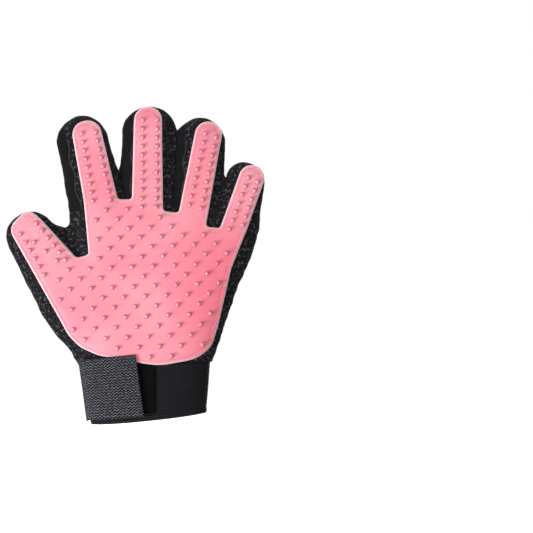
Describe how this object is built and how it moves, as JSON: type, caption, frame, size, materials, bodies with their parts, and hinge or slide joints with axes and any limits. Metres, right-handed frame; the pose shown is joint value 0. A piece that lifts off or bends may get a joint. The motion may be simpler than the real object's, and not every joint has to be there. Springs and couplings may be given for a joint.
{
  "type": "pet grooming glove",
  "caption": "Left-hand fabric glove with a nubbed silicone grooming pad over palm and fingers, mesh back, elastic cuff and a hook-and-loop wrist strap.",
  "frame": {"origin": "centre of the wrist mouth, level with the lowest edge of the cuff", "axes": "+Z from the wrist to the fingertips, the nubbed pad faces -Y, the thumb points to -X"},
  "size_m": [0.1926, 0.0399, 0.237],
  "materials": {
    "silicone_pad": "satin moulded silicone",
    "knit_front": "fine ribbed stretch knit",
    "air_mesh": "matt spacer mesh with small holes",
    "side_mesh": "matt mesh side strip",
    "elastic_band": "ribbed woven elastic",
    "webbing": "herringbone webbing",
    "loop_pile": "brushed loop pile",
    "hook_tape": "moulded hook tape"
  },
  "bodies": {
    "palm": {"palm_front_fabric": "knit_front", "palm_back_mesh": "air_mesh", "heel_gusset": "side_mesh", "index_base_gusset": "side_mesh", "index_middle_web": "side_mesh", "outer_side_gusset": "side_mesh", "palm_pad": "silicone_pad", "cuff_elastic": "elastic_band", "cuff_hem": "elastic_band", "loop_patch": "loop_pile", "strap_seam_tape": "webbing"},
    "thumb": {"thumb_front_fabric": "knit_front", "thumb_back_mesh": "air_mesh", "thumb_left_gusset": "side_mesh", "thumb_right_gusset": "side_mesh", "thumb_pad": "silicone_pad"},
    "index": {"index_front_fabric": "knit_front", "index_back_mesh": "air_mesh", "index_left_gusset": "side_mesh", "index_right_gusset": "side_mesh", "index_pad": "silicone_pad"},
    "middle": {"middle_front_fabric": "knit_front", "middle_back_mesh": "air_mesh", "middle_left_gusset": "side_mesh", "middle_right_gusset": "side_mesh", "middle_pad": "silicone_pad"},
    "ring": {"ring_front_fabric": "knit_front", "ring_back_mesh": "air_mesh", "ring_left_gusset": "side_mesh", "ring_right_gusset": "side_mesh", "ring_pad": "silicone_pad"},
    "little": {"little_front_fabric": "knit_front", "little_back_mesh": "air_mesh", "little_left_gusset": "side_mesh", "little_right_gusset": "side_mesh", "little_pad": "silicone_pad"},
    "strap": {"strap_webbing": "webbing", "strap_hook_patch": "hook_tape"}
  },
  "joints": [
    {"name": "thumb_flex", "type": "hinge", "parent": "palm", "child": "thumb", "pos_m": [-0.0655, -0.0095, 0.112], "axis": [0.295, 0, 0.9555], "range_deg": [-10, 55], "stiffness_Nm_per_rad": 0.03},
    {"name": "index_flex", "type": "hinge", "parent": "palm", "child": "index", "pos_m": [-0.04, -0.0095, 0.177], "axis": [0.9789, 0, 0.2045], "range_deg": [-10, 70], "stiffness_Nm_per_rad": 0.03},
    {"name": "middle_flex", "type": "hinge", "parent": "palm", "child": "middle", "pos_m": [0.0015, -0.0095, 0.175], "axis": [1, 0, 0], "range_deg": [-10, 70], "stiffness_Nm_per_rad": 0.03},
    {"name": "ring_flex", "type": "hinge", "parent": "palm", "child": "ring", "pos_m": [0.037, -0.0095, 0.166], "axis": [0.9925, 0, -0.1219], "range_deg": [-10, 70], "stiffness_Nm_per_rad": 0.03},
    {"name": "little_flex", "type": "hinge", "parent": "palm", "child": "little", "pos_m": [0.068, -0.0095, 0.1515], "axis": [0.9659, 0, -0.2588], "range_deg": [-10, 70], "stiffness_Nm_per_rad": 0.03},
    {"name": "strap_peel", "type": "hinge", "parent": "palm", "child": "strap", "pos_m": [-0.0454, -0.0124, 0.0274], "axis": [0.109, 0, -0.994], "range_deg": [0, 120]}
  ]
}
